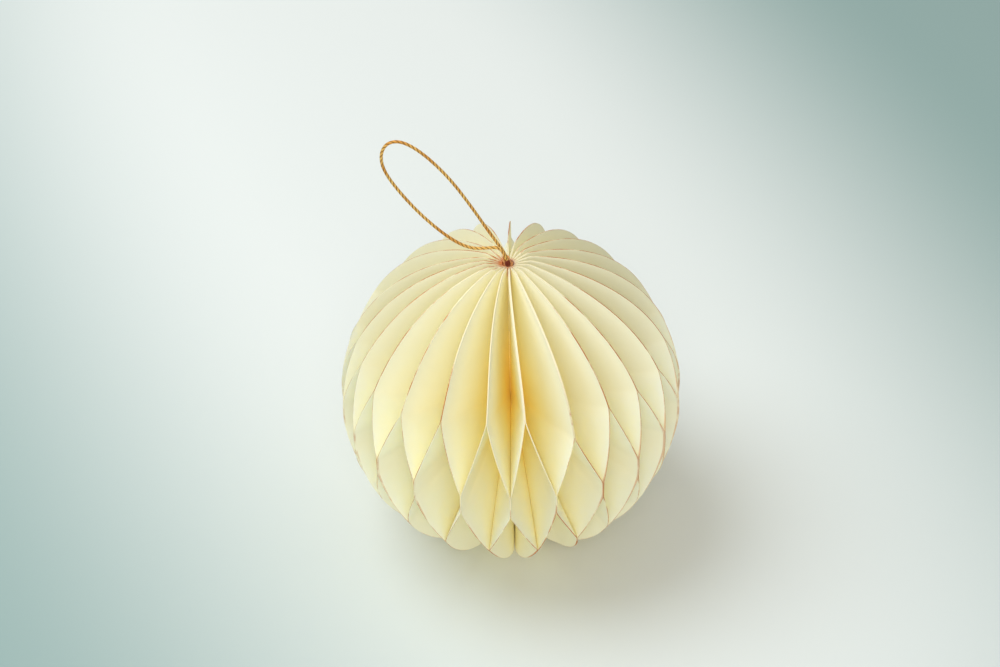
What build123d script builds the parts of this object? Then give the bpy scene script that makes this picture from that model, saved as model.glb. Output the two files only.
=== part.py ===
from build123d import *
import math
import os

# Honeycomb paper bauble, in millimetres. It stands on z = 0 with its axis on Z, and its front is toward -Y.

ball_diameter = 90.0
paper = 0.22
glue_film = 0.04

# How wide each folded leaf is pulled open, in degrees round the axis, from the first wall right of the front.
leaf_openings = [
    17.3, 16.0, 14.7, 16.1, 16.0, 16.2, 15.5, 16.5, 15.5, 15.5, 14.5, 16.0,
    14.0, 18.0, 16.5, 18.5, 12.5, 12.5, 14.0, 16.0, 16.5, 17.2, 14.5,
]
first_wall = 5.2

# Latitudes on the rim: a leaf is glued to its neighbours beyond the first, and to its own other half within the second.
neighbour_glue_latitude = 27.0
own_glue_latitude = 3.6

# Each disc is cut back a little toward its fold at both poles, so the ball stands on a ring of paper edges.
stand_ring_radius = 6.0
hollow_depth = 1.7

# How far a leaf stays pressed together at its fold, from where its two halves part.
fold_length = 1.0

cord_diameter = 1.0
knot_height = 4.0
knot_clearance = 0.15
knot_top_below_pole = 3.4

# The cord's route from the top of its knot, up, round the loop and back. Heights are above the knot.
loop_route = [
    (-0.10, 0.60, 0.0), (-0.10, 0.60, 2.0), (-1.40, 0.60, 6.0), (-4.40, 0.45, 12.0), (-8.90, 0.20, 19.8),
    (-14.20, 0.00, 29.0), (-20.40, -0.10, 36.8), (-25.60, 0.00, 40.7), (-29.30, -0.10, 40.4), (-31.10, -0.20, 37.0),
    (-30.60, -0.35, 32.2), (-27.00, -0.50, 25.6), (-21.40, -0.60, 17.7), (-14.60, -0.65, 10.4), (-8.40, -0.65, 6.5),
    (-4.00, -0.65, 6.7), (-1.60, -0.65, 5.0), (-0.40, -0.60, 2.0), (-0.40, -0.60, 0.0),
]

ball_radius = ball_diameter / 2
leaf_count = len(leaf_openings)
turn = 360.0 / sum(leaf_openings)
core_radius = leaf_count * (2 * paper + glue_film) / (2 * math.pi)
stand_height = math.sqrt(ball_radius**2 - stand_ring_radius**2)
knot_top = stand_height + ball_radius - knot_top_below_pole
reach = ball_radius * 1.15
neighbour_slope = math.tan(math.radians(neighbour_glue_latitude))
own_slope = math.tan(math.radians(own_glue_latitude))


def flat_faced(first, last):
    """A solid between two matching outlines, with a flat face from each edge to its match."""
    faces = [Face(Wire.make_polygon(first)), Face(Wire.make_polygon(last))]
    for i in range(len(first)):
        faces.append(Face(Wire.make_polygon([first[i - 1], first[i], last[i], last[i - 1]])))
    return Solid(Shell(faces))


def wall_at(x, half_angle):
    """How far a leaf's outer wall is from its middle plane, half a glue film short of the neighbour's."""
    return (x * math.sin(half_angle) - glue_film / 2) / math.cos(half_angle)


def half_section(x, half_angle):
    """One half of a leaf where it crosses the plane at x: a zigzag band with the paper's thickness."""
    wall = wall_at(x, half_angle)
    inner_wall = wall - paper / math.cos(half_angle)
    steep = neighbour_slope / math.cos(half_angle)
    lean = math.atan2(math.tan(half_angle), steep - own_slope)
    mitre = paper / 2 * math.tan(lean / 2)
    out = (wall - paper) / math.tan(half_angle)
    outer = [(wall, reach), (wall, out * steep - mitre), (paper, out * own_slope - mitre)]
    out = inner_wall / math.tan(half_angle)
    inner = [(inner_wall, reach), (inner_wall, out * steep + mitre), (0.0, out * own_slope + mitre)]
    ring = outer + [(y, -z) for y, z in reversed(outer)] + [(y, -z) for y, z in inner] + list(reversed(inner))
    return [Vector(x, y, z) for y, z in ring]


def half_disc(angle):
    """The cut outline of half a disc, square to a wall that stands at an angle to the leaf's middle plane."""
    across = Vector(math.cos(angle), math.sin(angle), 0)
    mouth = stand_height - hollow_depth
    ring_top = (stand_ring_radius, stand_height)
    ring_bottom = (stand_ring_radius, -stand_height)
    with BuildPart() as cut:
        with BuildSketch(Plane(origin=(0, 0, 0), x_dir=across, z_dir=across.cross(Vector(0, 0, 1)))):
            with BuildLine():
                Polyline(ring_bottom, (0, -mouth), (0, mouth), ring_top)
                ThreePointArc(ring_top, (ball_radius, 0), ring_bottom)
            make_face()
        extrude(amount=ball_radius / 2, both=True)
    return cut.part


def folded_leaf(opening):
    """One disc folded at its spine, its halves open above and below and glued together at the equator."""
    half_angle = math.radians(opening) / 2
    parting = (paper + glue_film / 2) / math.sin(half_angle)
    fold_end = parting + fold_length
    band_start = parting + 0.7 * fold_length
    band = flat_faced(half_section(band_start, half_angle), half_section(reach, half_angle))
    fold = [(core_radius, 0), (fold_end, 0), (fold_end, wall_at(fold_end, half_angle))]
    fold.append((core_radius, wall_at(core_radius, half_angle)))
    spine = extrude(make_face(Polyline(*fold, close=True)), amount=reach, both=True)
    half = (band + spine) & half_disc(half_angle)
    return half + mirror(half, about=Plane.XZ)


parts = {}
wall_angle = first_wall
for number, opening in enumerate(leaf_openings, 1):
    middle_angle = wall_angle + opening * turn / 2
    leaf = Rot(0, 0, middle_angle - 90) * folded_leaf(opening * turn)
    parts[f"paper_leaf_{number:02d}"] = Pos(0, 0, stand_height) * leaf
    wall_angle += opening * turn

route = [Vector(x, y, z + knot_top) for x, y, z in loop_route]
radii = []
for before, here, after in zip(route, route[1:], route[2:]):
    bend = math.radians((here - before).get_angle(after - here))
    shorter = min((here - before).length, (after - here).length)
    radii.append(0.45 * shorter / math.tan(bend / 2))
path = FilletPolyline(*route, radius=radii)
cord = sweep(Plane(origin=path @ 0, z_dir=path % 0) * Circle(cord_diameter / 2), path=path)
parts["hanging_loop"] = cord
print("cord bend radii", [round(r, 1) for r in radii])
print("cord length", round(path.length, 1))
print("tube volume over section times length", cord.volume / (math.pi * cord_diameter**2 / 4 * path.length))

knot = Cylinder(core_radius - knot_clearance, knot_height, align=(Align.CENTER, Align.CENTER, Align.MAX))
parts["cord_knot"] = Pos(0, 0, knot_top) * knot

os.makedirs("parts", exist_ok=True)
for name, shape in parts.items():
    shape.label = name
    export_step(shape, f"parts/{name}.step")
print(len(parts), "pieces, core radius", round(core_radius, 3), "stand height", round(stand_height, 3))
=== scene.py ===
"""Honeycomb paper bauble: its folded leaves, cord loop, knot and stage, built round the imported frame."""

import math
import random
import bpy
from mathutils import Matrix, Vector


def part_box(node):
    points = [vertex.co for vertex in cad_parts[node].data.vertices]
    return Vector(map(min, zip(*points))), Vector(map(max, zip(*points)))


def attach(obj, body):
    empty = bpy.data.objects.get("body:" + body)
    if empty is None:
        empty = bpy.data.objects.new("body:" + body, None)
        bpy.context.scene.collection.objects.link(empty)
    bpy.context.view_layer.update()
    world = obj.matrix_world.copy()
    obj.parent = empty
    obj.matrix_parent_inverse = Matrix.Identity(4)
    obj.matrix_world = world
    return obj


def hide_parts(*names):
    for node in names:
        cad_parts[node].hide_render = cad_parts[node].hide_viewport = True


bl_info = {
    "name": "Honeycomb paper bauble",
    "version": (1, 0, 0),
    "blender": (4, 5, 0),
    "location": "View3D > Sidebar > Bauble",
    "description": "Builds a ball of folded paper leaves with a loop of gold cord",
    "category": "Add Mesh",
}

import bpy
from bpy.props import FloatProperty, FloatVectorProperty, IntProperty, PointerProperty
from mathutils import Quaternion, Vector

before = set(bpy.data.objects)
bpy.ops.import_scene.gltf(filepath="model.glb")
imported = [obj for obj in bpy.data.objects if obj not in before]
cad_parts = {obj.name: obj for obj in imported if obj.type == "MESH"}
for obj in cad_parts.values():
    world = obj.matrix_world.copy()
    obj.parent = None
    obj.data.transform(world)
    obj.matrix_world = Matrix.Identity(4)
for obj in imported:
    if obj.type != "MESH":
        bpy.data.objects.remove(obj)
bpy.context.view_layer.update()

MM = 0.001
LEAF_NODES = sorted(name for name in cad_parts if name.startswith("paper_leaf_"))

# How wide each leaf is pulled open, in degrees, from the first wall right of the front, as in the part's source.
LEAF_OPENINGS = [
    17.3, 16.0, 14.7, 16.1, 16.0, 16.2, 15.5, 16.5, 15.5, 15.5, 14.5, 16.0,
    14.0, 18.0, 16.5, 18.5, 12.5, 12.5, 14.0, 16.0, 16.5, 17.2, 14.5,
]
FIRST_WALL = 5.2

# The latitude of each wall's upper kink, in degrees, from the same first wall. Those at the back are guesses.
WALL_KINKS = [
    31.0, 22.5, 28.0, 27.0, 25.0, 26.0, 27.5, 26.0, 28.0, 25.5, 27.0, 26.5,
    25.0, 28.5, 26.0, 27.5, 26.0, 28.0, 27.0, 25.0, 25.0, 28.0, 30.0,
]

# How far each leaf's glued strip stands off the middle of its opening, in degrees, in the same order.
STRIP_SHIFTS = [
    0.3, 0.3, 0.2, 0.4, 0.6, -0.4, 0.5, -0.3, 0.4, -0.5, 0.3, 0.0,
    -0.4, 0.6, -0.3, 0.5, -0.4, 0.2, 0.8, 0.9, 1.1, 1.0, 1.3,
]

# How far a wall is turned aside below its lower kink, in degrees, at the kink and further down. The rest hang straight.
TURNED_FEET = {22: (0.0, 8.5), 0: (4.0, -2.0), 1: (1.5, 8.5)}

# The walls that stand flat, without the wander of the rest.
FLAT_WALLS = {11}

# The walls whose cut edges keep the paper's full thickness, where handling has opened them again.
FULL_EDGES = {0, 1}

# The cord's route in millimetres, from the top of its knot, up, round the loop and back. Heights are above the knot.
# The points near the knot follow the photograph, where one end comes in level and then runs down beside the other.
LOOP_ROUTE = [
    (-0.10, 0.60, 0.0), (0.00, 0.56, 1.9), (-1.15, 0.50, 5.0), (-2.50, 0.50, 7.5), (-5.00, 0.45, 12.0),
    (-9.00, 0.20, 19.8), (-14.20, 0.00, 29.0), (-20.40, -0.10, 36.8), (-25.60, 0.00, 40.7), (-29.30, -0.10, 40.4),
    (-31.10, -0.20, 37.0), (-30.60, -0.35, 32.2), (-27.00, -0.50, 25.6), (-21.40, -0.60, 17.7), (-14.80, -0.65, 10.6),
    (-9.80, -0.65, 7.3), (-5.60, -0.65, 7.3), (-2.15, -0.66, 7.6), (-0.80, -0.64, 4.4), (-0.15, -0.60, 2.0),
    (-0.20, -0.60, 0.0),
]

# How far apart the points lie along the cord, and along the thinner thread that binds it.
CORD_STEP = 0.22 * MM
THREAD_STEP = 0.16 * MM

# The photograph's frame: its width in pixels, how far the ball's middle is right of its middle and below it, and the
# sensor's width in millimetres.
FRAME_WIDTH = 1000
BALL_RIGHT = 10.7
BALL_BELOW = 55.9
SENSOR_WIDTH = 36.0


def linear(colour):
    """The linear value of an sRGB colour that is written as six hex digits."""
    shares = [int(colour[i:i + 2], 16) / 255 for i in (0, 2, 4)]
    return tuple(s / 12.92 if s <= 0.04045 else ((s + 0.055) / 1.055) ** 2.4 for s in shares)


class BaublePaper(bpy.types.PropertyGroup):
    """Sizes and colours of the folded leaves."""

    ball_diameter: FloatProperty(
        name="Ball diameter", description="Width of the cut discs",
        default=90 * MM, min=0.02, unit="LENGTH")
    paper: FloatProperty(
        name="Paper", description="Thickness of the paper",
        default=0.22 * MM, min=0.00002, precision=5, unit="LENGTH")
    glue_film: FloatProperty(
        name="Glue film", description="Gap that the glue fills between neighbouring leaves",
        default=0.04 * MM, min=0.0, precision=5, unit="LENGTH")
    seam_gap: FloatProperty(
        name="Seam gap", description="Open gap that is left in a glued seam once the film has soaked in",
        default=0.008 * MM, min=0.0, precision=6, unit="LENGTH")
    strip_latitude: FloatProperty(
        name="Strip latitude", description="A leaf's two halves are glued together up to this latitude on the rim",
        default=math.radians(3.6), subtype="ANGLE")
    crease_softness: FloatProperty(
        name="Crease softness", description="Latitude over which the paper turns at each kink",
        default=math.radians(1.4), subtype="ANGLE")
    pressed_edge: FloatProperty(
        name="Pressed edge", description="Thickness of the paper at its cut edge, where cutting has pressed it",
        default=0.12 * MM, precision=5, unit="LENGTH")
    stand_ring: FloatProperty(
        name="Stand ring", description="Radius of the ring of paper edges that the ball stands on",
        default=6.0 * MM, unit="LENGTH")
    hollow: FloatProperty(
        name="Hollow", description="How far the discs are cut back at the poles",
        default=1.7 * MM, unit="LENGTH")
    pole_twist: FloatProperty(
        name="Pole twist", description="Turn of the leaves near the top, where the cord draws them round",
        default=math.radians(-1.5), subtype="ANGLE")
    pole_shift: FloatProperty(
        name="Pole shift", description="Sideways pull on the leaves near the top, toward the loop",
        default=-0.4 * MM, unit="LENGTH")
    unevenness: FloatProperty(
        name="Unevenness", description="How far the hand-opened walls wander from flat",
        default=0.45 * MM, unit="LENGTH")
    latitude_steps: IntProperty(
        name="Latitude steps", description="Divisions of each half disc round its rim", default=150, min=40, max=300)
    radial_steps: IntProperty(
        name="Radial steps", description="Divisions of each half disc from fold to rim", default=13, min=4, max=30)
    sheet_colour: FloatVectorProperty(
        name="Paper colour", description="Ivory of the paper", subtype="COLOR", size=3,
        default=linear("FAF8E3"), min=0, max=1)
    cloud_colour: FloatVectorProperty(
        name="Paper clouding", description="Slightly deeper ivory where the fibres lie thick", subtype="COLOR", size=3,
        default=linear("F9F4D8"), min=0, max=1)
    # Painted glow: this golden tone stands in for light bounced from wall to wall deep in the cells.
    painted_glow_colour: FloatVectorProperty(
        name="Fold colour", description="Golden tone of the paper deep in the cells", subtype="COLOR", size=3,
        default=linear("FEF7C4"), min=0, max=1)
    # Painted light: the warm glow that the gold cord throws on the paper round the hole.
    painted_cord_glow_colour: FloatVectorProperty(
        name="Stain", description="Copper that the binding thread leaves on the paper round the hole", subtype="COLOR",
        size=3, default=linear("E08A48"), min=0, max=1)
    edge_colour: FloatVectorProperty(
        name="Cut edge", description="Bare cut edge of the paper", subtype="COLOR", size=3,
        default=linear("FBEECA"), min=0, max=1)
    # Edge colour away from the pale upper front edges.
    dull_edge_colour: FloatVectorProperty(
        name="Dull cut edge", description="Cut edge that is neither inked nor worn bare", subtype="COLOR", size=3,
        default=linear("E9DEB6"), min=0, max=1)
    gilt_colour: FloatVectorProperty(
        name="Gilt", description="Copper ink along the cut edges", subtype="COLOR", size=3,
        default=linear("C4702C"), min=0, max=1)


class BaubleCord(bpy.types.PropertyGroup):
    """Sizes and colours of the hanging cord."""

    diameter: FloatProperty(
        name="Diameter", description="Width of the cord's tube", default=1.0 * MM, precision=4, unit="LENGTH")
    length: FloatProperty(
        name="Length", description="Cord from end to end", default=108 * MM, unit="LENGTH")
    twist_width: FloatProperty(
        name="Twist width", description="Width of the strands when twisted tight", default=0.84 * MM, precision=4,
        unit="LENGTH")
    pitch: FloatProperty(
        name="Pitch", description="Length of cord in which a strand goes once round", default=2.7 * MM, precision=4,
        unit="LENGTH")
    thread_width: FloatProperty(
        name="Thread width", description="Width of the thread that binds the cord's ends", default=0.42 * MM,
        precision=4, unit="LENGTH")
    thread_pitch: FloatProperty(
        name="Thread pitch", description="Length of thread in which a ply goes once round", default=0.9 * MM,
        precision=4, unit="LENGTH")
    gold_colour: FloatVectorProperty(
        name="Gold", description="Metal foil on the strands", subtype="COLOR", size=3,
        default=linear("FFDA7C"), min=0, max=1)
    shade_colour: FloatVectorProperty(
        name="Core yarn", description="Yarn that shows between the turns of foil", subtype="COLOR", size=3,
        default=linear("DE9A40"), min=0, max=1)
    yarn_colour: FloatVectorProperty(
        name="Plain yarn", description="The strands without foil", subtype="COLOR", size=3,
        default=linear("A06A24"), min=0, max=1)
    # Painted shade: the dark red that the thread takes in the shaded spot in front.
    thread_painted_shade_colour: FloatVectorProperty(
        name="Thread", description="Copper-red thread that binds the ends", subtype="COLOR", size=3,
        default=linear("7E2A0E"), min=0, max=1)
    # The thread's colour outside that painted shade.
    thread_pale_colour: FloatVectorProperty(
        name="Rubbed thread", description="The same thread where it is rubbed pale", subtype="COLOR", size=3,
        default=linear("EDAE6C"), min=0, max=1)


class BaubleStage(bpy.types.PropertyGroup):
    """Floor, light and camera."""

    floor_colour: FloatVectorProperty(
        name="Floor", description="Pale floor round the bauble", subtype="COLOR", size=3,
        default=linear("E9EDEB"), min=0, max=1)
    # Painted fall-off of the light: the darker, cooler floor further off.
    floor_painted_falloff_colour: FloatVectorProperty(
        name="Floor further off", description="Cooler floor away from the bauble", subtype="COLOR", size=3,
        default=linear("97AFAC"), min=0, max=1)
    key_power: FloatProperty(
        name="Key lamp", description="Power of the wide soft lamp at the upper left", default=5.95, min=0, unit="POWER")
    low_fill_power: FloatProperty(
        name="Low fill lamp", description="Power of the wide low lamp in front", default=2.5, min=0, unit="POWER")
    high_fill_power: FloatProperty(
        name="High fill lamp", description="Power of the lamp in front and above", default=1.0, min=0, unit="POWER")
    sky_strength: FloatProperty(
        name="Sky", description="Strength of the even light from all round", default=0.53, min=0)
    camera_distance: FloatProperty(
        name="Camera distance", description="From the ball's middle", default=630 * MM, unit="LENGTH")
    camera_elevation: FloatProperty(
        name="Camera elevation", description="Angle above the horizon", default=math.radians(41.93), subtype="ANGLE")
    camera_roll: FloatProperty(
        name="Camera roll", description="Turn about the line of sight", default=math.radians(-0.97), subtype="ANGLE")
    camera_lens: FloatProperty(
        name="Lens", description="Focal length for a 36 mm sensor", default=84.75, unit="CAMERA")


def new_material(name):
    """An empty node material."""
    material = bpy.data.materials.new(name)
    material.use_nodes = True
    material.node_tree.nodes.clear()
    return material


def add_node(material, kind, settings, inputs):
    """Adds a shader node with its settings; an input is a value or another node's output."""
    node = material.node_tree.nodes.new(kind)
    for name, value in settings.items():
        setattr(node, name, value)
    for name, value in inputs.items():
        if isinstance(value, bpy.types.NodeSocket):
            material.node_tree.links.new(value, node.inputs[name])
        else:
            node.inputs[name].default_value = value
    return node


def rgba(colour):
    """A colour with full alpha, as a node's socket takes it."""
    return (*colour, 1.0)


def knot_top():
    """Height of the knot's top, from the frame."""
    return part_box("cord_knot")[1].z


def stand_height(paper):
    """Height of the ball's middle, above the ring of paper edges that it stands on."""
    return math.sqrt((paper.ball_diameter / 2)**2 - paper.stand_ring**2)


def core_radius(paper):
    """Radius of the core, where the folds of all leaves meet."""
    return len(LEAF_OPENINGS) * (2 * paper.paper + paper.glue_film) / (2 * math.pi)


def painted_cord_glow(material, place):
    """How far the paper is painted copper, as painted warm light from the gold cord: in spots of 1.5 mm, within 3.6 mm
    of a point in the hole, on the loop's side.
    """
    from_hole = add_node(material, "ShaderNodeVectorMath", {"operation": "DISTANCE"}, {
        0: place, 1: (-0.8 * MM, 0.0, knot_top() + 1 * MM)})
    near = add_node(material, "ShaderNodeMapRange", {"interpolation_type": "SMOOTHSTEP"}, {
        "Value": from_hole.outputs["Value"], "From Min": 1.5 * MM, "From Max": 3.6 * MM, "To Min": 0.9, "To Max": 0.0})
    spots = add_node(material, "ShaderNodeTexNoise", {}, {"Vector": place, "Scale": 1 / (1.5 * MM), "Detail": 2.0})
    patchy = add_node(material, "ShaderNodeMapRange", {}, {
        "Value": spots.outputs["Fac"], "From Min": 0.35, "From Max": 0.65})
    share = add_node(material, "ShaderNodeMath", {"operation": "MULTIPLY"}, {
        0: near.outputs["Result"], 1: patchy.outputs["Result"]})
    return share.outputs["Value"]


def edge_ink(material, place):
    """How much copper ink there is on a cut edge, as a line with breaks, and where the upper front edges are left pale
    and without ink.
    """
    # The ink is broken every 6 mm or so.
    wear = add_node(material, "ShaderNodeTexNoise", {}, {
        "Vector": place, "Scale": 1 / (6 * MM), "Detail": 3.0, "Roughness": 0.6})
    # The upper front edges, round -Y, are left pale and without ink over some 30 mm, and the ink is most whole on the
    # right, toward +X.
    axes = add_node(material, "ShaderNodeSeparateXYZ", {}, {"Vector": place})
    aside = add_node(material, "ShaderNodeMath", {"operation": "ABSOLUTE"}, {0: axes.outputs["X"]})
    aside = add_node(material, "ShaderNodeMapRange", {"interpolation_type": "SMOOTHSTEP"}, {
        "Value": aside.outputs["Value"], "From Min": 11 * MM, "From Max": 17 * MM})
    lower = add_node(material, "ShaderNodeMapRange", {"interpolation_type": "SMOOTHSTEP"}, {
        "Value": axes.outputs["Z"], "From Min": 50 * MM, "From Max": 36 * MM})
    behind = add_node(material, "ShaderNodeMapRange", {"interpolation_type": "SMOOTHSTEP"}, {
        "Value": axes.outputs["Y"], "From Min": -12 * MM, "From Max": 4 * MM})
    inked = add_node(material, "ShaderNodeMath", {"operation": "MAXIMUM"}, {
        0: aside.outputs["Result"], 1: lower.outputs["Result"]})
    inked = add_node(material, "ShaderNodeMath", {"operation": "MAXIMUM"}, {
        0: inked.outputs["Value"], 1: behind.outputs["Result"]})
    bare_front = add_node(material, "ShaderNodeMath", {"operation": "SUBTRACT"}, {0: 1.0, 1: inked.outputs["Value"]})
    cover = add_node(material, "ShaderNodeMapRange", {}, {
        "Value": inked.outputs["Value"], "To Min": -0.3, "To Max": 0.02})
    whole = add_node(material, "ShaderNodeMapRange", {"interpolation_type": "SMOOTHSTEP"}, {
        "Value": axes.outputs["X"], "From Min": -10 * MM, "From Max": 25 * MM, "To Min": 0.02, "To Max": 0.1})
    kept = add_node(material, "ShaderNodeMath", {"operation": "ADD"}, {
        0: cover.outputs["Result"], 1: whole.outputs["Result"]})
    # On the right it fades some 10 mm from the hole, where the edges crowd.
    hub = add_node(material, "ShaderNodeVectorMath", {"operation": "DISTANCE"}, {0: place, 1: (0.0, 0.0, knot_top())})
    crowded = add_node(material, "ShaderNodeMapRange", {"interpolation_type": "SMOOTHSTEP"}, {
        "Value": hub.outputs["Value"], "From Min": 4 * MM, "From Max": 13 * MM, "To Min": -0.2, "To Max": 0.0})
    right = add_node(material, "ShaderNodeMapRange", {"interpolation_type": "SMOOTHSTEP"}, {
        "Value": axes.outputs["X"], "From Min": -4 * MM, "From Max": 3 * MM})
    kept = add_node(material, "ShaderNodeMath", {"operation": "MULTIPLY_ADD"}, {
        0: crowded.outputs["Result"], 1: right.outputs["Result"], 2: kept.outputs["Value"]})
    worn = add_node(material, "ShaderNodeMath", {"operation": "ADD"}, {
        0: wear.outputs["Fac"], 1: kept.outputs["Value"]})
    ink = add_node(material, "ShaderNodeMapRange", {}, {
        "Value": worn.outputs["Value"], "From Min": 0.42, "From Max": 0.62})
    return ink.outputs["Result"], bare_front.outputs["Value"]


def ivory_paper(paper):
    """Uncoated ivory drawing paper: matt, faintly clouded by its fibres, and it lets a little light through."""
    material = new_material("uncoated_ivory_paper")
    place = add_node(material, "ShaderNodeTexCoord", {}, {}).outputs["Object"]
    # Fibre clouds are some 5 mm across. Single fibres of 0.05 mm are drawn ten times as coarse, so that they show.
    clouds = add_node(material, "ShaderNodeTexNoise", {}, {
        "Vector": place, "Scale": 1 / (5 * MM), "Detail": 4.0, "Roughness": 0.6})
    fibres = add_node(material, "ShaderNodeTexNoise", {}, {
        "Vector": place, "Scale": 1 / (0.5 * MM), "Detail": 3.0, "Roughness": 0.7})
    colour = add_node(material, "ShaderNodeMix", {"data_type": "RGBA"}, {
        "Factor": clouds.outputs["Fac"], "A": rgba(paper.sheet_colour), "B": rgba(paper.cloud_colour)})
    # From 11 mm behind its cut edge the sheet is painted golden inwards, as painted glow of light bounced deep in the
    # cells.
    radius = paper.ball_diameter / 2
    from_middle = add_node(material, "ShaderNodeVectorMath", {"operation": "DISTANCE"}, {
        0: place, 1: (0.0, 0.0, stand_height(paper))})
    outer = add_node(material, "ShaderNodeMapRange", {"interpolation_type": "SMOOTHSTEP"}, {
        "Value": from_middle.outputs["Value"], "From Min": 8 * MM, "From Max": 34 * MM})
    deep = add_node(material, "ShaderNodeMix", {"data_type": "RGBA"}, {
        "Factor": outer.outputs["Result"], "A": rgba(paper.painted_glow_colour), "B": colour.outputs["Result"]})
    # Round the hole it is painted copper, as painted warm light thrown by the gold cord.
    glow_tinted = add_node(material, "ShaderNodeMix", {"data_type": "RGBA"}, {
        "Factor": painted_cord_glow(material, place), "A": deep.outputs["Result"], "B": rgba(paper.painted_cord_glow_colour)})
    # Below the equator and on the right the ink runs over the cut edge and 0.1 mm on to the sheet.
    bleed = add_node(material, "ShaderNodeMapRange", {"interpolation_type": "SMOOTHSTEP"}, {
        "Value": from_middle.outputs["Value"], "From Min": radius - 0.16 * MM, "From Max": radius - 0.04 * MM,
        "To Max": 0.5})
    axes = add_node(material, "ShaderNodeSeparateXYZ", {}, {"Vector": place})
    below = add_node(material, "ShaderNodeMapRange", {"interpolation_type": "SMOOTHSTEP"}, {
        "Value": axes.outputs["Z"], "From Min": 49 * MM, "From Max": 45 * MM})
    right = add_node(material, "ShaderNodeMapRange", {"interpolation_type": "SMOOTHSTEP"}, {
        "Value": axes.outputs["X"], "From Min": 5 * MM, "From Max": 15 * MM})
    run_over = add_node(material, "ShaderNodeMath", {"operation": "MAXIMUM"}, {
        0: below.outputs["Result"], 1: right.outputs["Result"]})
    bleed = add_node(material, "ShaderNodeMath", {"operation": "MULTIPLY"}, {
        0: bleed.outputs["Result"], 1: run_over.outputs["Value"]})
    bleed = add_node(material, "ShaderNodeMath", {"operation": "MULTIPLY"}, {
        0: bleed.outputs["Value"], 1: edge_ink(material, place)[0]})
    inked = add_node(material, "ShaderNodeMix", {"data_type": "RGBA"}, {
        "Factor": bleed.outputs["Value"], "A": glow_tinted.outputs["Result"], "B": rgba(paper.gilt_colour)})
    rough = add_node(material, "ShaderNodeMapRange", {}, {
        "Value": fibres.outputs["Fac"], "From Min": 0.3, "From Max": 0.7, "To Min": 0.72, "To Max": 0.86})
    bump = add_node(material, "ShaderNodeBump", {}, {
        "Height": fibres.outputs["Fac"], "Strength": 0.25, "Distance": 0.05 * MM})
    # Light goes through a single sheet, and hardly through two that are glued together.
    single = add_node(material, "ShaderNodeAttribute", {"attribute_name": "single_sheet"}, {})
    see_through = add_node(material, "ShaderNodeMath", {"operation": "MULTIPLY"}, {0: single.outputs["Fac"], 1: 0.7})
    shader = add_node(material, "ShaderNodeBsdfPrincipled", {}, {
        "Base Color": inked.outputs["Result"], "Roughness": rough.outputs["Result"],
        "Normal": bump.outputs["Normal"], "IOR": 1.45, "Specular IOR Level": 0.3,
        "Subsurface Weight": see_through.outputs["Value"], "Subsurface Radius": (1.0, 0.9, 0.65),
        "Subsurface Scale": 0.5 * MM})
    add_node(material, "ShaderNodeOutputMaterial", {}, {"Surface": shader.outputs["BSDF"]})
    return material


def gilt_edge(paper):
    """Cut paper edge with copper ink that is worn thin in places, so it runs as a broken dark line."""
    material = new_material("copper_inked_paper_edge")
    place = add_node(material, "ShaderNodeTexCoord", {}, {}).outputs["Object"]
    ink, bare_front = edge_ink(material, place)
    bare = add_node(material, "ShaderNodeMix", {"data_type": "RGBA"}, {
        "Factor": bare_front, "A": rgba(paper.dull_edge_colour), "B": rgba(paper.edge_colour)})
    colour = add_node(material, "ShaderNodeMix", {"data_type": "RGBA"}, {
        "Factor": ink, "A": bare.outputs["Result"], "B": rgba(paper.gilt_colour)})
    # Painted warm light from the gold cord, round the hole.
    glow_tinted = add_node(material, "ShaderNodeMix", {"data_type": "RGBA"}, {
        "Factor": painted_cord_glow(material, place), "A": colour.outputs["Result"], "B": rgba(paper.painted_cord_glow_colour)})
    metal = add_node(material, "ShaderNodeMath", {"operation": "MULTIPLY"}, {0: ink, 1: 0.2})
    rough = add_node(material, "ShaderNodeMapRange", {}, {"Value": ink, "To Min": 0.8, "To Max": 0.55})
    shader = add_node(material, "ShaderNodeBsdfPrincipled", {}, {
        "Base Color": glow_tinted.outputs["Result"], "Metallic": metal.outputs["Value"],
        "Roughness": rough.outputs["Result"]})
    add_node(material, "ShaderNodeOutputMaterial", {}, {"Surface": shader.outputs["BSDF"]})
    return material


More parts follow.
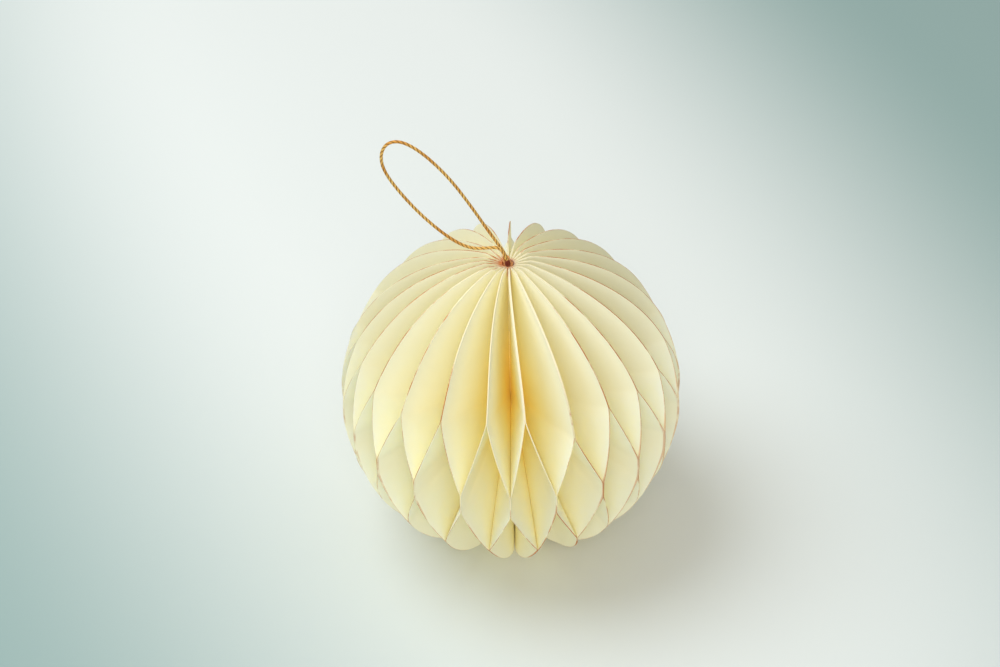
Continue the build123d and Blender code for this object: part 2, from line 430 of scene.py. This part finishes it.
def gold_cord(cord):
    """Twisted metallic yarn: gold foil wound on a brown core, so it glints in short bright dashes, and it is painted
    duller over stretches, as painted reflection of darker surroundings.
    """
    material = new_material("gold_metallic_cord")
    place = add_node(material, "ShaderNodeTexCoord", {}, {}).outputs["Object"]
    # Foil turns are 0.1 mm wide and drawn three times as coarse, so that they show.
    foil = add_node(material, "ShaderNodeTexNoise", {}, {
        "Vector": place, "Scale": 1 / (0.3 * MM), "Detail": 2.0, "Roughness": 0.6})
    tone = add_node(material, "ShaderNodeMapRange", {}, {
        "Value": foil.outputs["Fac"], "From Min": 0.38, "From Max": 0.62, "To Min": 0.25})
    # Over stretches of some 6 mm the foil is painted duller, as painted reflection of darker surroundings in the metal.
    reflection_stretches = add_node(material, "ShaderNodeTexNoise", {}, {"Vector": place, "Scale": 1 / (6 * MM), "Detail": 1.0})
    whole = add_node(material, "ShaderNodeMapRange", {}, {
        "Value": reflection_stretches.outputs["Fac"], "From Min": 0.38, "From Max": 0.58, "To Min": 0.2})
    tone = add_node(material, "ShaderNodeMath", {"operation": "MULTIPLY"}, {
        0: tone.outputs["Result"], 1: whole.outputs["Result"]})
    colour = add_node(material, "ShaderNodeMix", {"data_type": "RGBA"}, {
        "Factor": tone.outputs["Value"], "A": rgba(cord.shade_colour), "B": rgba(cord.gold_colour)})
    rough = add_node(material, "ShaderNodeMapRange", {}, {
        "Value": tone.outputs["Value"], "To Min": 0.6, "To Max": 0.3})
    bump = add_node(material, "ShaderNodeBump", {}, {
        "Height": foil.outputs["Fac"], "Strength": 0.5, "Distance": 0.06 * MM})
    shader = add_node(material, "ShaderNodeBsdfPrincipled", {}, {
        "Base Color": colour.outputs["Result"], "Metallic": 0.25, "Roughness": rough.outputs["Result"],
        "Normal": bump.outputs["Normal"]})
    add_node(material, "ShaderNodeOutputMaterial", {}, {"Surface": shader.outputs["BSDF"]})
    return material


def plain_strand(name, colour):
    """Dyed yarn without foil: matt, with fine lint that makes its tone uneven."""
    material = new_material(name)
    place = add_node(material, "ShaderNodeTexCoord", {}, {}).outputs["Object"]
    # Lint of 0.05 mm is drawn four times as coarse, so that it shows.
    lint = add_node(material, "ShaderNodeTexNoise", {}, {"Vector": place, "Scale": 1 / (0.2 * MM), "Detail": 2.0})
    tone = add_node(material, "ShaderNodeMapRange", {}, {
        "Value": lint.outputs["Fac"], "From Min": 0.3, "From Max": 0.7, "To Min": 0.7, "To Max": 1.25})
    shade = add_node(material, "ShaderNodeVectorMath", {"operation": "SCALE"}, {
        0: colour, "Scale": tone.outputs["Result"]})
    rough = add_node(material, "ShaderNodeMapRange", {}, {"Value": lint.outputs["Fac"], "To Min": 0.55, "To Max": 0.75})
    shader = add_node(material, "ShaderNodeBsdfPrincipled", {}, {
        "Base Color": shade.outputs["Vector"], "Roughness": rough.outputs["Result"]})
    add_node(material, "ShaderNodeOutputMaterial", {}, {"Surface": shader.outputs["BSDF"]})
    return material


def bound_thread(cord):
    """Copper-red thread round the cord's ends: pale, with painted shade in dark red in a spot of some 2 mm in front,
    under the cord.
    """
    material = new_material("copper_red_thread")
    place = add_node(material, "ShaderNodeTexCoord", {}, {}).outputs["Object"]
    # Painted shade: the thread is dark red in a spot of some 2 mm in front, under the cord.
    from_shade_spot = add_node(material, "ShaderNodeVectorMath", {"operation": "DISTANCE"}, {
        0: place, 1: (-0.1 * MM, -1.35 * MM, knot_top() + 2.6 * MM)})
    # The thread's own plies are 0.2 mm wide and drawn twice as coarse, so that they show.
    plies = add_node(material, "ShaderNodeTexNoise", {}, {"Vector": place, "Scale": 1 / (0.4 * MM), "Detail": 2.0})
    uneven = add_node(material, "ShaderNodeMath", {"operation": "MULTIPLY_ADD"}, {
        0: plies.outputs["Fac"], 1: 0.8 * MM, 2: from_shade_spot.outputs["Value"]})
    share = add_node(material, "ShaderNodeMapRange", {"interpolation_type": "SMOOTHSTEP"}, {
        "Value": uneven.outputs["Value"], "From Min": 1.1 * MM, "From Max": 1.9 * MM})
    colour = add_node(material, "ShaderNodeMix", {"data_type": "RGBA"}, {
        "Factor": share.outputs["Result"], "A": rgba(cord.thread_painted_shade_colour), "B": rgba(cord.thread_pale_colour)})
    rough = add_node(material, "ShaderNodeMapRange", {}, {"Value": plies.outputs["Fac"], "To Min": 0.5, "To Max": 0.7})
    shader = add_node(material, "ShaderNodeBsdfPrincipled", {}, {
        "Base Color": colour.outputs["Result"], "Roughness": rough.outputs["Result"]})
    add_node(material, "ShaderNodeOutputMaterial", {}, {"Surface": shader.outputs["BSDF"]})
    return material


def select_only(*pieces):
    """Selects these objects alone and makes the first one active."""
    bpy.ops.object.select_all(action="DESELECT")
    for piece in pieces:
        piece.select_set(True)
    bpy.context.view_layer.objects.active = pieces[0]


def route_points():
    """Points along the cord's smooth line, read from one open NURBS spline."""
    curve = bpy.data.curves.new("cord_route", "CURVE")
    curve.dimensions = "3D"
    curve.resolution_u = 20
    spline = curve.splines.new("NURBS")
    spline.points.add(len(LOOP_ROUTE) - 1)
    for point, (x, y, z) in zip(spline.points, LOOP_ROUTE):
        point.co = (x * MM, y * MM, z * MM + knot_top(), 1.0)
    spline.order_u = 3
    spline.use_endpoint_u = True
    route = bpy.data.objects.new("cord_route", curve)
    bpy.context.scene.collection.objects.link(route)
    bpy.context.view_layer.update()
    line = bpy.data.meshes.new_from_object(route.evaluated_get(bpy.context.evaluated_depsgraph_get()))
    points = [vertex.co.copy() for vertex in line.vertices]
    bpy.data.objects.remove(route)
    bpy.data.curves.remove(curve)
    bpy.data.meshes.remove(line)
    return points


def even_points(points, spacing):
    """The same line with its points evenly spaced."""
    lengths = [0.0]
    for before, here in zip(points, points[1:]):
        lengths.append(lengths[-1] + (here - before).length)
    count = round(lengths[-1] / spacing)
    evened = []
    i = 0
    for n in range(count + 1):
        at = lengths[-1] * n / count
        while i < len(points) - 2 and lengths[i + 1] < at:
            i += 1
        share = (at - lengths[i]) / max(lengths[i + 1] - lengths[i], 1e-12)
        evened.append(points[i].lerp(points[i + 1], min(share, 1.0)))
    return evened


def twisted_strands(name, points, diameter, pitch, materials):
    """A mesh of strands, one for each material, twisted round a line of evenly spaced points."""
    strands = len(materials)
    strand_radius = diameter / 2 / (1 + 1 / math.sin(math.pi / strands))
    winding_radius = diameter / 2 - strand_radius
    spacing = (points[1] - points[0]).length
    tangents = [(points[min(i + 1, len(points) - 1)] - points[max(i - 1, 0)]).normalized()
                for i in range(len(points))]
    side = tangents[0].orthogonal().normalized()
    sides = []
    for tangent in tangents:
        side = (side - tangent * side.dot(tangent)).normalized()
        sides.append(side.copy())
    pieces = []
    for strand in range(strands):
        curve = bpy.data.curves.new(f"{name}_strand", "CURVE")
        curve.dimensions = "3D"
        curve.bevel_depth = strand_radius
        curve.bevel_resolution = 2
        curve.use_fill_caps = True
        curve.materials.append(materials[strand])
        spline = curve.splines.new("POLY")
        spline.points.add(len(points) - 1)
        for i, (point, tangent, side) in enumerate(zip(points, tangents, sides)):
            turn = 2 * math.pi * (strand / strands + i * spacing / pitch)
            out = Quaternion(tangent, turn) @ side
            spline.points[i].co = (*(point + out * winding_radius), 1.0)
        piece = bpy.data.objects.new(f"{name}_strand", curve)
        bpy.context.scene.collection.objects.link(piece)
        pieces.append(piece)
    select_only(*pieces)
    bpy.ops.object.convert(target="MESH")
    bpy.ops.object.join()
    made = bpy.context.view_layer.objects.active
    made.name = made.data.name = name
    bpy.ops.object.shade_smooth()
    return made


def cord_strands(gold, plain):
    """The cord's strands in their order round it: four with foil and two plain."""
    return (gold, gold, plain) * 2


class OBJECT_OT_bauble_hanging_loop(bpy.types.Operator):
    """Twists the gold cord along its route, up out of the hole, round the loop and back"""

    bl_idname = "object.bauble_hanging_loop"
    bl_label = "Hanging loop"

    def execute(self, context):
        cord = context.scene.bauble_cord
        points = even_points(route_points(), CORD_STEP)
        strands = cord_strands(gold_cord(cord), plain_strand("brown_cord_yarn", cord.yarn_colour))
        loop = twisted_strands("gold_cord_loop", points, cord.twist_width, cord.pitch, strands)
        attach(loop, "root")
        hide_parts("hanging_loop")
        return {"FINISHED"}


class OBJECT_OT_bauble_cord_knot(bpy.types.Operator):
    """Ties the cord's two ends in a knot inside the core"""

    bl_idname = "object.bauble_cord_knot"
    bl_label = "Cord knot"

    def execute(self, context):
        cord = context.scene.bauble_cord
        low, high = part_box("cord_knot")
        middle = (low + high) / 2
        reach = (high.x - low.x) / 2 - cord.twist_width / 2
        rise = (high.z - low.z) / 2 - cord.twist_width / 2
        # The cord goes twice round the axis, and three times in and out and up and down.
        steps = 120
        points = []
        for n in range(steps + 1):
            turn = 2 * math.pi * n / steps
            out = reach * (0.62 + 0.38 * math.cos(3 * turn))
            place = Vector((out * math.cos(2 * turn), out * math.sin(2 * turn), rise * math.sin(3 * turn)))
            points.append(middle + place)
        points = even_points(points, CORD_STEP)
        strands = cord_strands(bpy.data.materials["gold_metallic_cord"], bpy.data.materials["brown_cord_yarn"])
        knot = twisted_strands("gold_cord_knot", points, cord.twist_width, cord.pitch, strands)
        select_only(knot, *self.binding(cord, high))
        bpy.ops.object.join()
        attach(knot, "root")
        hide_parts("cord_knot")
        return {"FINISHED"}

    def binding(self, cord, high):
        """Thread round both ends of the cord: a loose coil that fills the hole and a tight one up the cord."""
        thread = bound_thread(cord)
        turn_steps = 30
        loose_turns, tight_turns = 8, 7.5
        # Both coils are in millimetres from the top of the knot. The loose one climbs and comes down again.
        loose, tight = [], []
        for n in range(loose_turns * turn_steps + 1):
            around = 2 * math.pi * n / turn_steps
            climb = 0.5 - 0.5 * math.cos(around / loose_turns)
            out = 1.16 + 0.14 * math.sin(0.27 * around)
            loose.append(Vector((
                out * math.cos(around) - 0.25, out * math.sin(around), 1.3 * climb - 0.1 + 0.4 * math.cos(around))))
        # The tight one is as wide as the cord's two ends, and leans with them from 1.4 mm up.
        for n in range(int(tight_turns * turn_steps) + 1):
            around = 2 * math.pi * n / turn_steps
            climb = 0.4 + 0.0135 * n
            lean = -0.1 - 0.27 * max(0.0, climb - 1.4)
            tight.append(Vector((
                0.76 * math.cos(around) + lean, 1.2 * math.sin(around), climb + 0.1 * math.cos(around))))
        coils = []
        for name, points in (("loose_thread", loose), ("tight_thread", tight)):
            points = even_points([point * MM + Vector((0, 0, high.z)) for point in points], THREAD_STEP)
            coils.append(twisted_strands(name, points, cord.thread_width, cord.thread_pitch, (thread, thread)))
        return coils


def flat_half_disc(paper, core):
    """A half disc in the XZ plane: a line spun round the ball's middle, then cut at its fold and at its lips."""
    radius = paper.ball_diameter / 2
    bpy.ops.object.select_all(action="DESELECT")
    bpy.ops.mesh.primitive_plane_add(size=core)
    sheet = bpy.context.view_layer.objects.active
    bpy.ops.object.mode_set(mode="EDIT")
    bpy.ops.mesh.select_all(action="SELECT")
    bpy.ops.mesh.merge(type="CENTER")
    bpy.ops.transform.translate(value=(0, 0, -core))
    bpy.ops.mesh.extrude_vertices_move(TRANSFORM_OT_translate={"value": (0, 0, core - radius)})
    bpy.ops.mesh.select_all(action="SELECT")
    bpy.ops.mesh.subdivide(number_cuts=paper.radial_steps - 1)
    bpy.ops.mesh.select_all(action="SELECT")
    bpy.ops.mesh.spin(steps=paper.latitude_steps, angle=math.pi, center=(0, 0, 0), axis=(0, 1, 0))
    ring_height = stand_height(paper)
    for sign in (1, -1):
        bpy.ops.mesh.select_all(action="SELECT")
        lip = Vector((-paper.hollow, 0, sign * paper.stand_ring)).normalized()
        bpy.ops.mesh.bisect(
            plane_co=(paper.stand_ring, 0, sign * ring_height), plane_no=lip, threshold=1e-6, clear_outer=True)
    bpy.ops.mesh.select_all(action="SELECT")
    bpy.ops.mesh.bisect(plane_co=(core, 0, 0), plane_no=(1, 0, 0), threshold=1e-6, clear_inner=True)
    bpy.ops.mesh.select_all(action="SELECT")
    bpy.ops.mesh.remove_doubles(threshold=0.00001)
    bpy.ops.object.mode_set(mode="OBJECT")
    return sheet


def soft_ramp(t, edge):
    """0 below 0 and 1 above 1, with both corners rounded over edge."""
    if t > 0.5:
        return 1 - soft_ramp(1 - t, edge)
    if t <= -edge:
        return 0.0
    if t < edge:
        return (t + edge) ** 2 / (4 * edge)
    return t


class FoldedWall:
    """One glued wall between two leaves: where it stands, where it kinks and how it wanders."""

    # The middle latitude of the lower kinks, in degrees, and the span below a kink over which a turned foot turns.
    LOWER_KINK = 26.5
    FOOT_SPAN = math.radians(30)

    def __init__(self, angle, kink, full_edge, flat, foot, draw):
        self.angle = math.radians(angle)
        self.full_edge = full_edge
        self.flat = flat
        self.foot = [math.radians(turn) for turn in foot]
        self.kinks = (math.radians(kink), math.radians(self.LOWER_KINK + draw.uniform(-2.0, 2.0)))
        self.bow = draw.uniform(-1.0, 1.0)
        # One draw is passed over, so that the waves of every wall keep theirs.
        draw.uniform(-1.0, 1.0)
        self.waves = [(draw.uniform(0.3, 0.8), draw.uniform(2.0, 6.0), draw.uniform(0, 2 * math.pi)) for _ in range(3)]

    def turned(self, latitude):
        """How far the wall is turned aside at a latitude under the equator, and a little on past its foot's span."""
        share = max(0.0, min(1.15, (-latitude - self.kinks[1]) / self.FOOT_SPAN))
        return self.foot[0] + (self.foot[1] - self.foot[0]) * share if latitude < 0 else 0.0

    def wander(self, out, latitude, radius):
        """How far the wall stands off its plane, as a share of the unevenness."""
        if self.flat:
            return 0.0
        # The bow is widest halfway out, and the waves grow toward the cut edge.
        share = out / radius
        wave = sum(a * math.sin(f * latitude + p) for a, f, p in self.waves) / 2
        return self.bow * math.sin(math.pi * share) * 0.8 + wave * share**3 * 0.5


class OBJECT_OT_bauble_paper_leaves(bpy.types.Operator):
    """Folds every leaf from one flat half disc, opens it between its walls and gives the paper its thickness"""

    bl_idname = "object.bauble_paper_leaves"
    bl_label = "Paper leaves"

    # The seed of the walls' wander, and the share of the radius past which a point is on the cut edge.
    SEED = 23
    CUT_EDGE = 0.995
    # The cord draws the leaves round from this latitude up, fully after this span and this far from the axis.
    PULL_FROM = math.radians(30)
    PULL_SPAN = math.radians(45)
    PULL_OUT = 8 * MM
    # Nearer to the axis than this, a wall's wander turns it no further than it would here.
    WANDER_OUT = 4 * MM
    # A turned foot starts this far from the axis, and is fully turned this much further out.
    FOOT_START = 2 * MM
    FOOT_OUT = 14 * MM
    # The fold's edges lie within this many times the core's radius.
    FOLD_REACH = 1.06

    def execute(self, context):
        paper = context.scene.bauble_paper
        if len(LEAF_NODES) != len(LEAF_OPENINGS):
            raise RuntimeError("the frame has another number of leaves")
        sheet_paper, sheet_edge = ivory_paper(paper), gilt_edge(paper)
        turn = 360.0 / sum(LEAF_OPENINGS)
        draw = random.Random(self.SEED)
        walls, angle = [], FIRST_WALL
        for i, (opening, kink) in enumerate(zip(LEAF_OPENINGS, WALL_KINKS)):
            foot = TURNED_FEET.get(i, (0.0, 0.0))
            walls.append(FoldedWall(angle, kink, i in FULL_EDGES, i in FLAT_WALLS, foot, draw))
            angle += opening * turn
        flat = flat_half_disc(paper, core_radius(paper))
        for i, name in enumerate(LEAF_NODES):
            strip = paper.strip_latitude * draw.uniform(0.85, 1.35)
            half_angle = math.radians(LEAF_OPENINGS[i] * turn) / 2
            middle = walls[i].angle + half_angle
            shift = math.radians(STRIP_SHIFTS[i])
            halves = []
            for side, wall in ((-1, walls[i]), (1, walls[(i + 1) % len(walls)])):
                half = flat.copy()
                half.data = flat.data.copy()
                context.scene.collection.objects.link(half)
                self.fold(paper, half, side, wall, half_angle, middle, strip, shift)
                halves.append(half)
            leaf = self.close(paper, halves, name.replace("paper_leaf", "folded_leaf"))
            leaf.data.materials.append(sheet_paper)
            leaf.data.materials.append(sheet_edge)
            self.thicken(paper, leaf)
            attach(leaf, "root")
            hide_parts(name)
        bpy.data.objects.remove(flat)
        return {"FINISHED"}

    def fold(self, paper, half, side, wall, half_angle, middle, strip, shift):
        """Moves a flat half disc's points to where the opened leaf holds them."""
        radius = paper.ball_diameter / 2
        middle_height = stand_height(paper)
        pressed = paper.paper / 2 + paper.seam_gap / 2
        thinned = (paper.paper - paper.pressed_edge) / 2
        thickness = half.vertex_groups.new(name="thickness")
        single = []
        for vertex in half.data.vertices:
            out, up = vertex.co.x, vertex.co.z
            latitude = math.atan2(up, out)
            kink = wall.kinks[0 if latitude >= 0 else 1]
            ramp = soft_ramp((abs(latitude) - strip) / (kink - strip), paper.crease_softness / 2 / (kink - strip))
            x = out / (math.cos(half_angle) + ramp * math.tan(half_angle) * math.sin(half_angle))
            stand_off = (x * math.sin(half_angle) - paper.seam_gap / 2 - paper.paper / 2) / math.cos(half_angle)
            y = pressed + max(0.0, stand_off - pressed) * ramp
            share = 1.0
            if math.hypot(out, up) > radius * self.CUT_EDGE:
                # A pressed edge is thinner, and it still meets the one beside it.
                pressing = 1 - ramp if wall.full_edge else 1.0
                share = 1 - (1 - paper.pressed_edge / paper.paper) * pressing
                y += thinned * (2 * ramp - 1) * pressing
            thickness.add([vertex.index], share, "REPLACE")
            # The sheet is single between its glued strip and its glued wall.
            single.append(min(1.0, 6 * ramp * (1 - ramp)))
            rise = max(0.0, min(1.0, (latitude - self.PULL_FROM) / self.PULL_SPAN))
            drawn = rise * rise * (3 - 2 * rise) * min(1.0, out / self.PULL_OUT)
            wander = paper.unevenness * wall.wander(math.hypot(out, up), latitude, radius) / max(out, self.WANDER_OUT)
            bearing = middle + paper.pole_twist * drawn + wander * ramp + shift * (1 - ramp)
            bearing += wall.turned(latitude) * ramp * max(0.0, min(1.0, (out - self.FOOT_START) / self.FOOT_OUT))
            # Bearings run from -Y toward +X.
            along = Vector((math.sin(bearing), -math.cos(bearing), 0))
            across = Vector((math.cos(bearing), math.sin(bearing), 0))
            vertex.co = along * x + across * (side * y) + Vector((paper.pole_shift * drawn, 0, up + middle_height))
        half.data.attributes.new("single_sheet", "FLOAT", "POINT").data.foreach_set("value", single)
        half.data.update()

    def close(self, paper, halves, name):
        """Joins a leaf's two halves along their fold."""
        select_only(*halves)
        bpy.ops.object.join()
        leaf = halves[0]
        leaf.name = leaf.data.name = name
        fold = core_radius(paper) * self.FOLD_REACH
        bpy.ops.object.mode_set(mode="EDIT")
        bpy.ops.mesh.select_mode(type="EDGE")
        bpy.ops.mesh.select_all(action="DESELECT")
        bpy.ops.object.mode_set(mode="OBJECT")
        faces_at = {}
        for polygon in leaf.data.polygons:
            for key in polygon.edge_keys:
                faces_at[key] = faces_at.get(key, 0) + 1
        for edge in leaf.data.edges:
            ends = [leaf.data.vertices[v].co.xy.length for v in edge.vertices]
            edge.select = max(ends) < fold and faces_at.get(tuple(sorted(edge.vertices)), 0) == 1
        bpy.ops.object.mode_set(mode="EDIT")
        bpy.ops.mesh.bridge_edge_loops()
        bpy.ops.mesh.select_all(action="SELECT")
        bpy.ops.mesh.normals_make_consistent(inside=False)
        bpy.ops.object.mode_set(mode="OBJECT")
        return leaf

    def thicken(self, paper, leaf):
        """Gives the sheet its thickness, with the cut edge in its own material."""
        select_only(leaf)
        bpy.ops.object.modifier_add(type="SOLIDIFY")
        solidify = leaf.modifiers[-1]
        solidify.thickness = paper.paper
        solidify.offset = 0.0
        solidify.vertex_group = "thickness"
        solidify.use_quality_normals = True
        solidify.material_offset_rim = 1
        bpy.ops.object.modifier_apply(modifier=solidify.name)
        leaf.vertex_groups.clear()
        bpy.ops.object.shade_smooth_by_angle(angle=math.radians(50))


class OBJECT_OT_bauble_stage(bpy.types.Operator):
    """Lays the pale floor, and sets the soft lamps and the camera"""

    bl_idname = "object.bauble_stage"
    bl_label = "Stage"

    def execute(self, context):
        stage = context.scene.bauble_stage
        middle = Vector((0, 0, stand_height(context.scene.bauble_paper)))
        self.floor(stage)
        self.lamps(context, stage, middle)
        self.camera(context, stage, middle)
        context.scene.view_settings.view_transform = "Standard"
        # Light reaches the depth of the cells only after many turns from wall to wall.
        turns = 32
        context.scene.cycles.diffuse_bounces = turns
        context.scene.cycles.transmission_bounces = turns
        context.scene.cycles.max_bounces = turns
        return {"FINISHED"}

    def floor(self, stage):
        """A wide floor of matt paper, painted darker and cooler away from the bauble as painted fall-off of the light,
        that takes a soft shadow without gloss.
        """
        bpy.ops.object.select_all(action="DESELECT")
        bpy.ops.mesh.primitive_plane_add(size=6.0)
        floor = bpy.context.view_layer.objects.active
        floor.name = "pale_floor"
        material = new_material("matt_paper_backdrop")
        place = add_node(material, "ShaderNodeTexCoord", {}, {}).outputs["Object"]
        # The pale part is an oval, in metres, that lies across the frame from the upper left to the lower right: a
        # painted pool of light, with the floor painted darker and cooler further off as the light falls off.
        turned = add_node(material, "ShaderNodeMapping", {"vector_type": "TEXTURE"}, {
            "Vector": place, "Location": (-39 * MM, 167 * MM, 0.0), "Rotation": (0, 0, math.radians(23.9)),
            "Scale": (0.268, 0.951, 1.0)})
        far = add_node(material, "ShaderNodeVectorMath", {"operation": "LENGTH"}, {0: turned.outputs["Vector"]})
        share = add_node(material, "ShaderNodeMapRange", {"interpolation_type": "SMOOTHSTEP"}, {
            "Value": far.outputs["Value"], "From Min": 0.175, "From Max": 0.742})
        colour = add_node(material, "ShaderNodeMix", {"data_type": "RGBA"}, {
            "Factor": share.outputs["Result"], "A": rgba(stage.floor_colour), "B": rgba(stage.floor_painted_falloff_colour)})
        shader = add_node(material, "ShaderNodeBsdfPrincipled", {}, {
            "Base Color": colour.outputs["Result"], "Roughness": 0.9, "Specular IOR Level": 0.1})
        add_node(material, "ShaderNodeOutputMaterial", {}, {"Surface": shader.outputs["BSDF"]})
        floor.data.materials.append(material)

    def lamps(self, context, stage, middle):
        """A soft lamp at the upper left, two in front that light into the cells, and an even sky."""
        # Places, widths and heights are in metres.
        for name, place, width, height, power, colour in (
                ("soft_key", (-0.45, 0.08, 0.885), 0.8, 0.8, stage.key_power, "F2FAFF"),
                ("low_fill", (0.0, -1.0, 0.25), 1.2, 0.4, stage.low_fill_power, "FFFFFF"),
                ("high_fill", (0.0, -0.65, 0.66), 0.3, 0.3, stage.high_fill_power, "FFFFFF")):
            lamp = bpy.data.lights.new(name, "AREA")
            lamp.shape = "ELLIPSE"
            lamp.size = width
            lamp.size_y = height
            lamp.energy = power
            lamp.color = linear(colour)
            obj = bpy.data.objects.new(name, lamp)
            obj.location = place
            obj.rotation_mode = "QUATERNION"
            obj.rotation_quaternion = (middle - Vector(place)).to_track_quat("-Z", "Y")
            context.scene.collection.objects.link(obj)
        world = bpy.data.worlds.new("even_sky")
        context.scene.world = world
        world.use_nodes = True
        sky = world.node_tree.nodes["Background"]
        sky.inputs["Color"].default_value = rgba(linear("FEFBF3"))
        sky.inputs["Strength"].default_value = stage.sky_strength

    def camera(self, context, stage, middle):
        """The photograph's view: the camera looks past the ball, which is right of the frame's middle and below it."""
        camera = bpy.data.cameras.new("camera")
        camera.sensor_width = SENSOR_WIDTH
        camera.lens = stage.camera_lens
        camera.clip_start = 0.01
        obj = bpy.data.objects.new("camera", camera)
        back = Vector((0, -math.cos(stage.camera_elevation), math.sin(stage.camera_elevation)))
        pixel = SENSOR_WIDTH / FRAME_WIDTH / stage.camera_lens
        aim = (-back).to_track_quat("-Z", "Y") @ Quaternion((0, 0, 1), stage.camera_roll)
        aim = aim @ Quaternion((0, 1, 0), math.atan(BALL_RIGHT * pixel))
        aim = aim @ Quaternion((1, 0, 0), math.atan(BALL_BELOW * pixel))
        obj.location = middle + back * stage.camera_distance
        obj.rotation_mode = "QUATERNION"
        obj.rotation_quaternion = aim
        context.scene.collection.objects.link(obj)
        context.scene.camera = obj


class VIEW3D_PT_bauble(bpy.types.Panel):
    """Sidebar panel with the bauble's pieces and values."""

    bl_label = "Paper bauble"
    bl_idname = "VIEW3D_PT_bauble"
    bl_space_type = "VIEW_3D"
    bl_region_type = "UI"
    bl_category = "Bauble"

    def draw(self, context):
        for operator in PIECES:
            self.layout.operator(operator.bl_idname)
        for settings in (context.scene.bauble_paper, context.scene.bauble_cord, context.scene.bauble_stage):
            box = self.layout.box()
            for name in settings.__annotations__:
                box.prop(settings, name)


PIECES = (
    OBJECT_OT_bauble_stage,
    OBJECT_OT_bauble_hanging_loop,
    OBJECT_OT_bauble_cord_knot,
    OBJECT_OT_bauble_paper_leaves,
)
CLASSES = (BaublePaper, BaubleCord, BaubleStage, *PIECES, VIEW3D_PT_bauble)


def register():
    for cls in CLASSES:
        bpy.utils.register_class(cls)
    bpy.types.Scene.bauble_paper = PointerProperty(type=BaublePaper)
    bpy.types.Scene.bauble_cord = PointerProperty(type=BaubleCord)
    bpy.types.Scene.bauble_stage = PointerProperty(type=BaubleStage)


def unregister():
    del bpy.types.Scene.bauble_stage
    del bpy.types.Scene.bauble_cord
    del bpy.types.Scene.bauble_paper
    for cls in reversed(CLASSES):
        bpy.utils.unregister_class(cls)


def main():
    register()
    bpy.ops.object.bauble_stage()
    bpy.ops.object.bauble_hanging_loop()
    bpy.ops.object.bauble_cord_knot()
    bpy.ops.object.bauble_paper_leaves()


if __name__ == "__main__":
    main()
